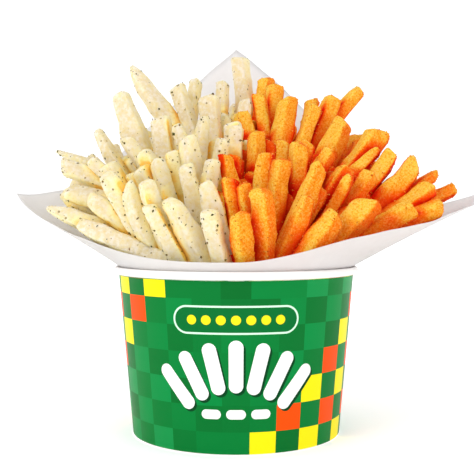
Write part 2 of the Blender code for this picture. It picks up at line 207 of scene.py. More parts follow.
class Paint:
    """A finish: one Principled shader, and the nodes that vary its colour, gloss and relief."""

    def __init__(self, name, **constants):
        self.material = bpy.data.materials.new(name)
        self.material.use_nodes = True
        self.tree = self.material.node_tree
        self.shader = self.tree.nodes["Principled BSDF"]
        self.give(**constants)

    def give(self, **values):
        """Values or links for the shader's own sockets, with _ for the spaces in their names."""
        for key, value in values.items():
            self.feed(self.shader.inputs[key.replace("_", " ")], value)

    def feed(self, socket, value):
        if isinstance(value, Value):
            self.tree.links.new(value.socket, socket)
        else:
            socket.default_value = value

    def node(self, kind, settings, inputs, out=0):
        """Any node: its settings are set first, then its sockets by number or name."""
        node = self.tree.nodes.new(kind)
        for key, value in settings.items():
            if key == "stops":
                marks = node.color_ramp.elements
                while len(marks) < len(value):
                    marks.new(0.5)
                for stop, (place, colour) in zip(marks, value):
                    stop.position = place
                    stop.color = colour
            else:
                setattr(node, key, value)
        for key, value in inputs.items():
            self.feed(node.inputs[key], value)
        return Value(self, node.outputs[out])

    def place(self):
        """Object coordinates, in metres."""
        return self.node("ShaderNodeTexCoord", {}, {}, out="Object")

    def noise(self, scale, detail=2.0, roughness=0.5):
        """Soft noise from about 0.3 to 0.7, with this many features to the metre."""
        inputs = {"Vector": self.place(), "Scale": scale, "Detail": detail, "Roughness": roughness}
        return self.node("ShaderNodeTexNoise", {}, inputs)

    def mix(self, share, first, second):
        """The first colour where share is 0, the second where it is 1."""
        return self.node("ShaderNodeMix", {"data_type": "RGBA"}, {0: share, 6: first, 7: second}, out=2)

    def ramp(self, value, *stops):
        """The colour at the value along stops, each of them a place and a colour."""
        return self.node("ShaderNodeValToRGB", {"stops": stops}, {0: value})

    def stored(self, name):
        """A number that the mesh holds at its points."""
        return self.node("ShaderNodeAttribute", {"attribute_name": name}, {}, out="Fac")

    def relief(self, height, depth, strength=1.0):
        """Bumps of this depth in metres on the shader's normal."""
        inputs = {"Strength": strength, "Distance": depth, "Height": height}
        self.give(Normal=self.node("ShaderNodeBump", {}, inputs))


def tub_wall():
    """The wall's profile turned about the axis: radius and height at each ring, the bead an
    ellipse, a step outwards at the glued overlap, and UVs of (column of the print, height)."""
    fold = 3 * BOARD + 2 * GAP
    inside_z = np.linspace(WALL_TOP_Z, BASE_Z, 8)
    bead = np.linspace(-108, 180, 26) * DEG
    bead_r = RIM_MID_R + RIM_HALF_W * np.cos(bead)
    bead_z = RIM_Z + RIM_HEIGHT / 2 * np.sin(bead)
    outside_z = np.array([0.5 * MM, 1.6 * MM, *np.linspace(4 * MM, WALL_TOP_Z - 0.6 * MM, 22)])
    foot = wall_radius(0.0)
    hem_r = [wall_radius(BOARD) - BOARD, wall_radius(BOARD) - fold + BOARD,
             wall_radius(HEM_HEIGHT) - fold + BOARD, wall_radius(HEM_HEIGHT) - fold,
             foot - fold, foot - fold + 0.4 * MM, foot - 0.4 * MM]
    hem_z = [BOARD, BOARD, HEM_HEIGHT, HEM_HEIGHT, 0.9 * MM, 0.0, 0.0]
    radius = np.concatenate([wall_radius(outside_z), bead_r, wall_radius(inside_z) - BOARD, hem_r])
    height = np.concatenate([outside_z, bead_z, inside_z, hem_z])
    printed = np.concatenate([outside_z / MM, np.full(len(height) - len(outside_z), -60.0)])

    count = POINTS_ROUND
    azimuth = np.arange(count) * 360.0 / count
    past_seam = (azimuth - SEAM_AT) % 360.0
    ease = np.clip((past_seam - (360.0 - LAP_EASE)) / LAP_EASE, 0.0, 1.0)
    lap = np.where(past_seam < LAP_WIDTH, 1.0, ease) * LAP_STEP * MM
    radius = radius[:, None] + lap[None] * (printed > -1.0)[:, None]
    points = np.stack([radius * np.cos(azimuth * DEG), radius * np.sin(azimuth * DEG),
                       np.broadcast_to(height[:, None], radius.shape)], axis=2)

    rings = len(height)
    faces = between_rings(rings, count, closed=True)
    ring = np.repeat(np.arange(rings), count)
    point = np.tile(np.arange(count), rings)
    step = COLUMNS / count
    across = np.stack([point, point + 1, point + 1, point], axis=1) * step
    up = np.stack([ring, ring, (ring + 1) % rings, (ring + 1) % rings], axis=1)
    uv = np.stack([across, printed[up]], axis=2)
    obj = skin("tub_wall_printed", points, [faces], uv)
    obj.data.set_sharp_from_angle(angle=50 * DEG)
    return obj


def printed_board():
    """White board with a print on its outside, by column and height in mm. Checks in greens,
    with yellow and orange ones in slanting fields, and plain motifs in the clear part: a fan
    of rounded white bars over its own shadow, a pill with dots in it, and three dashes."""
    board = Paint("printed_board", Coat_Weight=0.03, Coat_Roughness=0.3, Specular_IOR_Level=0.06)
    uv = board.node("ShaderNodeUVMap", {"uv_map": "print"}, {})
    column = board.node("ShaderNodeSeparateXYZ", {}, {0: uv}, out=0)
    height = board.node("ShaderNodeSeparateXYZ", {}, {0: uv}, out=1)
    column = column - COLUMNS * 0.75
    column = column + (column < -COLUMNS / 2) * COLUMNS
    check = (column + 0.5).math("FLOOR")
    row = ((height + 1.7) / CHECK_HEIGHT).math("FLOOR")

    cell = board.node("ShaderNodeCombineXYZ", {}, {0: check, 1: row})
    chance = board.node("ShaderNodeTexWhiteNoise", {"noise_dimensions": "2D"}, {"Vector": cell})
    odd = (check + row).math("FLOORED_MODULO", 2.0)
    shift = check - row
    fields = ((shift > 0.5) * (shift < 5.5)).math("MAXIMUM", (shift < -8.5) * (shift > -13.5))
    # Painted light: away from the front column, up to five columns out to each side, the greens turn lighter
    # and the odd checks stand out more.
    side = (abs(check) / 5.0).between(0.0, 1.0)
    tone = chance * 0.45 + odd * (0.12 + side * 0.3) + side * 0.12
    colour = board.ramp(tone, (0.0, ink(0, 104, 38)), (0.4, ink(0, 124, 52)),
                        (0.7, ink(0, 138, 64)), (1.0, ink(34, 152, 82)))
    warm = board.mix(row.math("FLOORED_MODULO", 2.0), ink(255, 234, 16), ink(255, 80, 4))
    colour = board.mix(odd * fields, colour, warm)

    across = column * (2 * math.pi * PRINT_R / COLUMNS)

    def bar_fan(x, z):
        """Seven bars at even turns round a point under the foot: the distance to the nearest
        bar's middle line, which runs from one radius to another, is under the half width."""
        z = z + BAR_PIVOT
        turn = x.math("ARCTAN2", z).from_nearest(BAR_TURN, 3.0)
        reach = (x * x + z * z).math("SQRT")
        along, aside = reach * turn.math("COSINE"), reach * turn.math("SINE")
        past = along - along.between(BAR_FROM, BAR_TO)
        return (aside * aside + past * past) < BAR_HALF ** 2

    colour = board.mix(bar_fan(across - SHADOW[0], height + SHADOW[1]), colour, ink(0, 66, 30))
    colour = board.mix(bar_fan(across, height), colour, ink(252, 254, 250))

    level = height - PILL_Z
    past = (abs(across) - PILL_HALF).between(0.0, 60.0)
    from_pill = (past * past + level * level).math("SQRT") - PILL_R
    colour = board.mix(from_pill < 0.0, colour, ink(0, 108, 46))
    colour = board.mix(abs(from_pill) < 0.5, colour, ink(214, 250, 222))
    aside = across.from_nearest(DOT_STEP, 3.0)
    colour = board.mix((aside * aside + level * level) < ROUND_R ** 2, colour, ink(250, 228, 30))

    level = height - DASH_Z
    past = (abs(across.from_nearest(DASH_STEP, 1.0)) - DASH_HALF).between(0.0, 60.0)
    colour = board.mix((past * past + level * level) < ROUND_R ** 2, colour, ink(250, 252, 248))

    fibre = board.noise(260.0, detail=4.0)
    plain = board.mix(fibre, ink(250, 247, 245), ink(243, 239, 236))
    unprinted = (height < 0.1).math("MAXIMUM", height > 92.0)
    board.give(Base_Color=board.mix(unprinted, colour, plain),
               Roughness=0.34 + fibre * 0.12 + unprinted * 0.15)
    board.relief(board.noise(420.0, detail=3.0), 0.06 * MM, 0.5)
    return board


fit(tub_wall(), printed_board(), "printed_board", "tub_wall")

# The base: a disc of plain white board, raised off the ground, its skirt turned down and
# held in the wall's folded foot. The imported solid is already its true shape, so it stays.
plain_board = Paint("plain_board")
board_fibre = plain_board.noise(300.0, detail=4.0)
plain_board.give(Base_Color=plain_board.mix(board_fibre, ink(246, 242, 236), ink(234, 228, 219)),
                 Roughness=0.5 + board_fibre * 0.2)
plain_board.relief(plain_board.noise(700.0, detail=3.0), 0.08 * MM, 0.6)
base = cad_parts["tub_base"]
base.data.materials.clear()
base.data.materials.append(plain_board.material)

# The lining: a square sheet of thin white greaseproof paper, pushed down into the tub by
# the fries. Left and right corners flare out over the bead, the back one stands up, and
# the front is a low smooth lip.
LIP_FRONT = 6.4 * MM
GROWTH_LEFT = 3.5
GROWTH_RIGHT = 1.95
EASE_LEFT = 0.9
EASE_RIGHT = 0.75
CORNER_LEFT = 86.0 * MM
CORNER_RIGHT = 101.0 * MM
CORNER_BACK = 172.0 * MM
EDGE_LOW = 65.0 * MM
RISE_FRONT = 66.0
RISE_LEFT = 30.0
RISE_RIGHT = 25.0
RISE_BACK = 64.0
CORNER_AZIMUTH = 15.0
SIDE_SPAN = 20.0
SIDE_POWER = 1.6
BACK_SPAN = 60.0
BACK_POWER = 1.2
CLIMB_POWER = 0.65
CLIMB_DELAY = 0.15
WAVE_SLOPE = 0.012
SHEET = 0.22 * MM
LET_THROUGH = 0.3


def flap(azimuth):
    """Length and rise (radians) of the paper past the bead, at azimuths in degrees.

    In front the length grows from the lip to the side corners as a power of the turn, and the
    rise eases down by a cosine of another power of it. Behind, each corner falls off to the
    low edge as a power of the turn away from it, and the rise climbs to the back corner: on
    the right by a smooth step, on the left by a power that a short smooth step delays."""
    turn = (np.asarray(azimuth, float) + 90.0) % 360.0 - 180.0
    left = turn > 0.0
    away = 180.0 - np.abs(turn)
    side_at = 90.0 + CORNER_AZIMUTH
    corner = np.where(left, CORNER_LEFT, CORNER_RIGHT)
    low_rise = np.where(left, RISE_LEFT, RISE_RIGHT)

    front = np.clip(away / side_at, 0.0, 1.0)
    growth = front ** np.where(left, GROWTH_LEFT, GROWTH_RIGHT)
    ease = (1 - np.cos(math.pi * front ** np.where(left, EASE_LEFT, EASE_RIGHT))) / 2
    front_length = LIP_FRONT + (corner - LIP_FRONT) * growth
    front_rise = RISE_FRONT + (low_rise - RISE_FRONT) * ease

    past = np.clip((away - side_at) / (180.0 - side_at), 0.0, 1.0)
    near_side = np.clip(1 - (away - side_at) / SIDE_SPAN, 0.0, 1.0)
    near_back = np.clip(1 - (180.0 - away) / BACK_SPAN, 0.0, 1.0)
    back_length = (EDGE_LOW + (corner - EDGE_LOW) * near_side ** SIDE_POWER
                   + (CORNER_BACK - EDGE_LOW) * near_back ** BACK_POWER)
    delay = np.clip(past / CLIMB_DELAY, 0.0, 1.0)
    early = past ** CLIMB_POWER * delay * delay * (3 - 2 * delay)
    climb = np.where(left, early, past * past * (3 - 2 * past))
    back_rise = low_rise + (RISE_BACK - low_rise) * climb

    behind = away > side_at
    return np.where(behind, back_length, front_length), np.where(behind, back_rise, front_rise) * DEG


def paper_sheet():
    """Rings of points from the floor, up the wall, over the bead and out along the flap. The
    flap is pushed along its normal by waves that grow with the distance from the bead."""
    count = 288
    azimuth = np.arange(count) * 360.0 / count
    cos, sin = np.cos(azimuth * DEG), np.sin(azimuth * DEG)
    length, rise = flap(azimuth)
    floor, inner = BASE_Z + GAP, BOARD + GAP
    floor_r = wall_radius(floor) - inner
    wall_z = np.linspace(floor + 5 * MM, RIM_Z - 4 * MM, 12)
    wall_r = wall_radius(wall_z) - inner
    wall_r[-1] = RIM_MID_R - RIM_HALF_W - inner
    radius = np.concatenate([floor_r * np.linspace(0.12, 0.9, 6), [floor_r - 1.0 * MM], wall_r])
    height = np.concatenate([np.full(6, floor), [floor + 1.2 * MM], wall_z])
    radius = np.broadcast_to(radius[:, None], (len(radius), count))
    height = np.broadcast_to(height[:, None], radius.shape)

    turn = math.pi - (math.pi / 2 - rise)[None] * np.linspace(0.0, 1.0, 7)[:, None]
    over_r = RIM_MID_R + FLARE_R * np.cos(turn)
    over_z = RIM_Z + FLARE_R * np.sin(turn)

    out = length[None] * np.linspace(0.0, 1.0, 30)[1:, None] ** 1.15
    angle = azimuth[None] * DEG
    waves = (np.sin(5 * angle + 0.7) + 0.7 * np.sin(9 * angle + 2.0 + 12 * out)
             + 0.45 * np.sin(17 * angle + 4.0) + 0.25 * np.sin(31 * angle + 30 * out))
    push = WAVE_SLOPE * out * waves * np.clip(out / (20 * MM), 0.0, 1.0)
    flap_r = over_r[-1] + out * np.cos(rise) - push * np.sin(rise)
    flap_z = over_z[-1] + out * np.sin(rise) + push * np.cos(rise)

    radius = np.concatenate([radius, over_r, flap_r])
    height = np.concatenate([height, over_z, flap_z])
    points = np.stack([radius * cos, radius * sin, height], axis=2)
    rings = len(points)
    pole = rings * count
    points = np.concatenate([points.reshape(-1, 3), [[0.0, 0.0, floor]]])
    nearest = np.arange(count)
    cap = np.stack([np.full(count, pole), (nearest + 1) % count, nearest], axis=1)
    obj = skin("paper_sheet", points, [between_rings(rings, count), cap])
    shell = obj.modifiers.new("thickness", "SOLIDIFY")
    shell.thickness = SHEET
    shell.offset = -1.0
    return obj


def greaseproof_paper():
    """Thin white paper: mottled fibre, faint crumples, and a share of light let through."""
    paper = Paint("greaseproof_paper", Specular_IOR_Level=0.35)
    mottle = paper.noise(130.0, detail=5.0, roughness=0.65)
    paper.give(Base_Color=paper.mix(mottle, ink(238, 236, 236), ink(227, 224, 223)),
               Roughness=0.42 + mottle * 0.2)
    crumple = paper.noise(34.0, detail=3.0, roughness=0.4) + paper.noise(900.0, detail=2.0) * 0.04
    paper.relief(crumple, 0.9 * MM, 0.35)
    behind = paper.node("ShaderNodeBsdfTranslucent", {}, {"Color": ink(252, 250, 248)})
    front = Value(paper, paper.shader.outputs[0])
    both = paper.node("ShaderNodeMixShader", {}, {0: LET_THROUGH, 1: front, 2: behind})
    paper.tree.links.new(both.socket, paper.tree.nodes["Material Output"].inputs["Surface"])
    return paper


fit(paper_sheet(), greaseproof_paper(), "greaseproof_paper", "liner")

# The cores: what lies deep between the fries, where only the colour of shade is seen.
# Each flavour has one, a lumpy mound that fills its half of the tub under its fries.
FAN_R = 60.0 * MM
SPLIT_SLOPE = 0.1
LEAN_SIDE = 61.0
UPRIGHT = 0.08
LEAN_FRONT = 19.0
LEAN_BACK = 25.0
NARROW_BACK = 0.42
STAND_MID = 80.0 * MM
STAND_FRONT = 38.0 * MM
STAND_BACK = 58.0 * MM
STAND_FALL = 0.65
CORE_DEPTH = 44.0 * MM
CORE_R = 54.0 * MM
CORE_FOOT_R = 50.0 * MM
CORE_FOOT_Z = 12.0 * MM


def fan(x, y):
    """Direction and standing length of a fry that leaves the tub's mouth at (x, y).

    It leans out from the middle, by an angle that grows with the distance. Behind, the fan is
    narrower and the fries stand taller; in front they are short."""
    back = np.clip(y, 0.0, None) / FAN_R
    front = np.clip(-y, 0.0, None) / FAN_R
    wide = np.sign(x) * np.clip(np.abs(x) / FAN_R - UPRIGHT, 0.0, None) / (1 - UPRIGHT)
    lean_x = LEAN_SIDE * wide * (1 - NARROW_BACK * back) * DEG
    lean_y = (LEAN_BACK * back - LEAN_FRONT * front) * DEG
    way = np.stack([np.tan(lean_x), np.tan(lean_y), np.ones_like(x)], axis=-1)
    way /= np.linalg.norm(way, axis=-1, keepdims=True)
    stand = STAND_MID + STAND_BACK * back * (1 - STAND_FALL * np.abs(wide)) - STAND_FRONT * front
    return way, stand


def heap_core(name, side):
    """A mound over half of the mouth: the mouth's half ring carried along the fan's directions,
    drawn in to its middle, with lumps from a product of sines."""
    tilt = math.atan(SPLIT_SLOPE)
    arc_turn = np.linspace(-90.0, 90.0, 40) * DEG - tilt
    half = np.stack([np.cos(arc_turn), np.sin(arc_turn)], axis=1)
    chord = np.linspace(half[-1], half[0], 18)[1:-1]
    outline = np.concatenate([half, chord]) * (1.0 if side > 0 else -1.0)
    middle = np.mean(outline, axis=0)

    def level(scale, radius, height):
        flat = (middle + (outline - middle) * scale) * radius + [side * 0.6 * MM, 0.0]
        return np.column_stack([flat, np.full(len(flat), height)])

    def raised(scale, share):
        ring = level(scale, CORE_R, RIM_TOP)
        way, stand = fan(ring[:, 0], ring[:, 1])
        depth = CORE_DEPTH + 0.4 * np.clip(ring[:, 1], 0.0, None)
        return ring + way * (np.clip(stand - depth, 2 * MM, None) * share)[:, None]

    rings = [level(0.5, CORE_FOOT_R, CORE_FOOT_Z), level(1.0, CORE_FOOT_R, CORE_FOOT_Z)]
    rings += [level(1.0, CORE_R, RIM_TOP)] + [raised(1.0, share) for share in (0.35, 0.7, 0.95)]
    rings += [raised(scale, 1.03) for scale in (0.85, 0.65, 0.45, 0.25, 0.1)]
    rings = np.array(rings)
    lumps = np.sin(rings[..., 0] * 700) * np.sin(rings[..., 1] * 640) * np.sin(rings[..., 2] * 580)
    rings[3:] += (lumps * 1.5 * MM)[3:, :, None] * np.array([0.4, 0.4, 1.0])
    count = rings.shape[1]
    total = rings.shape[0] * count
    points = np.concatenate([rings.reshape(-1, 3), [rings[0].mean(0), rings[-1].mean(0)]])
    here = np.arange(count)
    after = (here + 1) % count
    below = np.stack([np.full(count, total), after, here], axis=1)
    above = np.stack([total - count + here, total - count + after, np.full(count, total + 1)], axis=1)
    return skin(name, points, [between_rings(rings.shape[0], count), below, above])


def deep_shade(name, light, dark):
    """The colour between two fries far down, darker by soft noise."""
    shade = Paint(name, Roughness=0.9, Specular_IOR_Level=0.1)
    shade.give(Base_Color=shade.mix(shade.noise(190.0, detail=3.0), light, dark))
    shade.relief(shade.noise(500.0, detail=3.0), 0.8 * MM)
    return shade


fit(heap_core("herb_core", -1), deep_shade("herb_shade", ink(238, 176, 76), ink(206, 136, 40)),
    "herb_fry", "herb_fries")
fit(heap_core("cheese_core", 1), deep_shade("cheese_shade", ink(228, 34, 0), ink(196, 14, 0)),
    "cheese_fry", "cheese_fries")

# The herb fries: straight-cut potato sticks about 9 mm square, pale from a coat of white
# powder, with blunt soft-edged ends and a few that taper to a point. They stand in the left
# half of the tub and fan out over its rim.
FRY_SIDE = (7.4 * MM, 9.0 * MM)
FRY_SPACING = 9.7 * MM
SEED = 11
SETTLE_ROUNDS = 14
LIFT_ROUNDS = 10
OFF_PAPER = 0.8 * MM
# The side the painted light comes from: above, left and front, where the key lamp stands.
PAINTED_LIGHT_FROM = np.array([-0.55, -0.35, 0.76])
OPEN_REACH = 4 * MM
SPECKS_PER_METRE = 230.0
SPECK_REACH = 0.17
SPECK_WANDER = 0.0007

# Fries that show in front and at the outline: foot, tip, width in mm, and width left at the
# tip. The cheese fries stand here too, because both heaps settle as one.
HERB_SEEN = (
    ((-3, 41, 141), (-68, 53, 223), 11.0, 0.3),
    ((-22, 11, 84), (-71, 21, 199), 11.6, 0.7),
    ((-35, 5, 100), (-84, 10, 177), 9.0, 0.45),
    ((-3, 14, 123), (-110, 21, 165), 6.7, 0.3),
    ((-3, 4, 118), (-103, 6, 154), 9.6, 0.75),
    ((-3, -6, 111), (-98, -7, 140), 9.6, 0.8),
    ((-15, -18, 101), (-111, -12, 126), 11.0, 0.3),
    ((-30, -42, 96), (-89, -23, 119), 9.8, 0.8),
    ((-20, -22, 92), (-81, -26, 135), 10.0, 0.85),
    ((-37, -22, 84), (-71, -31, 148), 10.5, 0.8),
    ((-35, -31, 84), (-60, -41, 141), 8.6, 0.75),
    ((-25, -35, 84), (-48, -48, 144), 9.0, 0.8),
    ((-15, -9, 84), (-53, -14, 162), 8.6, 0.8),
    ((-18, -15, 84), (-44, -21, 157), 9.0, 0.8),
    ((-20, -11, 83), (-36, -16, 162), 10.2, 0.85),
    ((-13, -44, 84), (-35, -57, 133), 10.5, 0.7),
    ((-29, 5, 85), (-45, 10, 185), 11.4, 0.85),
    ((-3, 2, 102), (-35, 3, 180), 8.3, 0.6),
    ((-20, -13, 83), (-28, -20, 169), 9.6, 0.85),
    ((-26, 2, 82), (-19, 3, 181), 8.3, 0.75),
    ((-24, -24, 83), (-13, -35, 156), 8.2, 0.8),
    ((-3, -40, 97), (-16, -50, 143), 9.0, 0.8),
    ((-3, -51, 83), (-14, -65, 128), 8.7, 0.85),
    ((-7, 31, 109), (-38, 51, 207), 9.0, 0.85),
    ((-25, 39, 117), (-27, 60, 214), 7.9, 0.8),
    ((-8, 18, 81), (-17, 35, 200), 10.6, 0.8),
    ((-12, 39, 90), (-9, 58, 213), 7.8, 0.85),
    ((9, 59, 110), (3, 79, 233), 11.5, 0.85),
    ((-6, -4, 83), (0, -6, 177), 9.3, 0.8),
    ((-11, -26, 84), (-27, -37, 153), 8.7, 0.8),
    ((-1, 27, 110), (6, 46, 199), 7.7, 0.8),
    ((-18, -44, 85), (-45, -56, 131), 7.8, 0.75),
    ((-13, -2, 87), (-85, -3, 159), 8.8, 0.8),
    ((-12, 2, 84), (-64, 3, 171), 8.9, 0.8),
    ((-22, -11, 83), (-8, -17, 169), 7.9, 0.8),
)
CHEESE_SEEN = (
    ((14, 49, 109), (21, 71, 218), 10.0, 0.85),
    ((8, 40, 89), (27, 60, 211), 10.5, 0.85),
    ((25, 32, 93), (14, 51, 203), 9.7, 0.85),
    ((15, 26, 81), (32, 45, 199), 11.5, 0.8),
    ((21, 43, 108), (50, 62, 202), 8.5, 0.85),
    ((7, 24, 82), (50, 42, 195), 9.5, 0.8),
    ((16, 31, 86), (61, 49, 201), 10.9, 0.8),
    ((3, 43, 119), (81, 57, 208), 11.1, 0.6),
    ((18, 15, 83), (67, 26, 184), 12.3, 0.8),
    ((17, 7, 85), (86, 13, 177), 13.0, 0.85),
    ((8, 2, 104), (85, 3, 164), 8.3, 0.5),
    ((35, 0, 85), (90, 0, 162), 10.4, 0.85),
    ((41, -4, 86), (104, -5, 157), 12.5, 0.75),
    ((35, 0, 88), (118, 0, 150), 8.8, 0.45),
    ((16, 4, 93), (130, 5, 143), 7.7, 0.8),
    ((32, -10, 89), (111, -13, 142), 10.6, 0.8),
    ((23, -16, 91), (117, -19, 130), 10.2, 0.85),
    ((33, -23, 94), (97, -30, 130), 9.4, 0.8),
    ((15, 18, 88), (84, 24, 158), 9.0, 0.8),
    ((34, -13, 85), (76, -18, 149), 9.1, 0.85),
    ((28, -20, 85), (63, -28, 148), 8.9, 0.6),
    ((34, -32, 86), (74, -41, 132), 13.0, 0.8),
    ((22, -43, 86), (53, -54, 126), 10.5, 0.75),
    ((13, -28, 84), (45, -39, 152), 8.7, 0.75),
    ((17, -41, 84), (38, -54, 135), 8.4, 0.7),
    ((26, -11, 83), (36, -17, 166), 9.1, 0.85),
    ((30, -4, 83), (27, -6, 169), 7.5, 0.85),
    ((18, -24, 83), (25, -35, 156), 9.3, 0.85),
    ((10, -6, 83), (12, -9, 174), 9.2, 0.8),
    ((10, -20, 83), (16, -30, 160), 9.4, 0.85),
    ((14, -46, 83), (13, -62, 139), 9.3, 0.85),
    ((8, -52, 83), (2, -66, 126), 9.2, 0.85),
    ((6, -37, 83), (-4, -51, 145), 7.9, 0.85),
    ((12, -20, 83), (-6, -30, 159), 7.2, 0.8),
    ((26, 12, 110), (3, 23, 188), 9.2, 0.85),
    ((3, -8, 86), (54, -11, 163), 8.6, 0.8),
    ((14, -39, 83), (4, -53, 142), 7.9, 0.8),
)


def mouth_points():
    """Where fries pass the tub's mouth: a close-packed grid, each point a little off it."""
    rng = np.random.default_rng(SEED)
    rows = int(2 * FAN_R / (FRY_SPACING * 0.866)) + 1
    row, column = np.meshgrid(np.arange(rows), np.arange(-8, 9), indexing="ij")
    points = np.stack([(column + 0.5 * (row % 2)) * FRY_SPACING,
                       -FAN_R + (row + 0.5) * FRY_SPACING * 0.866], axis=2).reshape(-1, 2)
    points = points[np.hypot(points[:, 0], points[:, 1]) <= FAN_R]
    return points + rng.uniform(-0.16, 0.16, points.shape) * FRY_SPACING


def heap_lines(side, seen):
    """Feet, tips, widths, tip widths and looseness of one flavour's fries, side -1 or 1.

    Every mouth point sends a fry along the fan's direction, each a little off it. Those nearest
    to the listed fries make room for them. A second grid of short fries, laid
    on higher up, fills in between."""
    rng = np.random.default_rng(SEED + 2 + side)
    mouth = mouth_points()
    mouth = mouth[side * (mouth[:, 0] - SPLIT_SLOPE * mouth[:, 1]) > 0]
    way, stand = fan(mouth[:, 0], mouth[:, 1])
    way = way + rng.normal(0.0, 0.08, way.shape)
    way /= np.linalg.norm(way, axis=1, keepdims=True)
    stand = stand + rng.uniform(-9.0, 8.0, len(stand)) * MM
    mouth = np.column_stack([mouth, np.full(len(mouth), RIM_TOP)])
    tips = mouth + way * stand[:, None]
    feet = mouth - way * 8.0 * MM
    widths = rng.uniform(*FRY_SIDE, len(tips)) + 0.9 * MM
    points = rng.choice([0.92, 0.8, 0.62, 0.35], len(tips), p=[0.35, 0.35, 0.2, 0.1])

    seen_feet = np.array([row[0] for row in seen]) * MM
    seen_tips = np.array([row[1] for row in seen]) * MM
    spread = np.linalg.norm(tips[:, None] - seen_tips[None], axis=2)
    keep = np.ones(len(tips), bool)
    for column in range(len(seen_tips)):
        spread[~keep, column] = np.inf
        keep[np.argmin(spread[:, column])] = False
    keep &= mouth[:, 1] > -14 * MM
    tips[keep] -= way[keep] * 14 * MM

    start = mouth + rng.uniform(-0.5, 0.5, mouth.shape) * FRY_SPACING * [1, 1, 0]
    way, stand = fan(start[:, 0], start[:, 1])
    short = start + way * (stand - rng.uniform(12, 26, len(stand)) * MM)[:, None]
    filled = (np.hypot(start[:, 0], start[:, 1]) < 44 * MM) & (start[:, 1] > -26 * MM)
    raised = (start + way * 10 * MM)[filled]
    short = short[filled]
    return (np.concatenate([seen_feet, feet[keep], raised]),
            np.concatenate([seen_tips, tips[keep], short]),
            np.concatenate([[row[2] * MM for row in seen], widths[keep], widths[filled]]) * 1.08,
            np.concatenate([[row[3] for row in seen], points[keep], points[filled]]),
            np.concatenate([np.full(len(seen), 0.0), np.full(keep.sum(), 0.5), np.ones(filled.sum())]))


def settle(feet, tips, widths, loose):
    """Ease apart the fries that would pass through each other, then lift them off the paper.

    Each fry is a row of balls. Of every ball that overlaps another fry's, the worst overlap
    moves it, and the fry's ends follow their share. The listed fries move least, and
    most of that to the front or back."""
    share = np.linspace(0.2, 1.0, 9)
    yield_more = 0.15 + loose
    hold = np.where(loose[:, None] > 0, 1.0, [0.35, 1.0, 0.35])
    owner = np.repeat(np.arange(len(feet)), len(share))
    for _ in range(SETTLE_ROUNDS):
        balls = (feet[:, None] * (1 - share)[:, None] + tips[:, None] * share[:, None]).reshape(-1, 3)
        apart = balls[:, None] - balls[None]
        distance = np.linalg.norm(apart, axis=2)
        distance[owner[:, None] == owner[None]] = 1.0
        overlap = (widths[owner][:, None] + widths[owner][None]) * 0.5 - distance
        worst = np.argmax(overlap, axis=1)
        here = np.arange(len(balls))
        amount = np.clip(overlap[here, worst], 0.0, None)
        give = yield_more[owner] / (yield_more[owner] + yield_more[owner[worst]])
        move = apart[here, worst] / distance[here, worst][:, None] * (amount * give * 0.7)[:, None]
        move = move.reshape(len(feet), len(share), 3)
        tips = tips + (move * share[:, None]).mean(axis=1) * 1.6 * hold
        feet = feet + (move * (1 - share)[:, None]).mean(axis=1) * 1.6 * hold

    for _ in range(LIFT_ROUNDS):
        line = feet[:, None] * (1 - share)[:, None] + tips[:, None] * share[:, None]
        radius = np.hypot(line[..., 0], line[..., 1])
        azimuth = np.arctan2(line[..., 1], line[..., 0])
        length, rise = flap(azimuth / DEG)
        out = radius - (RIM_MID_R - FLARE_R * np.sin(rise))
        up = line[..., 2] - (RIM_Z + FLARE_R * np.cos(rise))
        along = out * np.cos(rise) + up * np.sin(rise)
        above = up * np.cos(rise) - out * np.sin(rise)
        normal = np.stack([-np.sin(rise) * np.cos(azimuth),
                           -np.sin(rise) * np.sin(azimuth), np.cos(rise)], axis=2)
        near = (along < length + 6 * MM) & (above > -30 * MM)
        short = np.where(near, widths[:, None] * 0.56 + OFF_PAPER - above, 0.0)
        worst = np.argmax(short, axis=1)
        here = np.arange(len(feet))
        lift = np.clip(short[here, worst], 0.0, None)[:, None] * normal[here, worst] * 0.8
        feet, tips = feet + lift, tips + lift
    return feet, tips


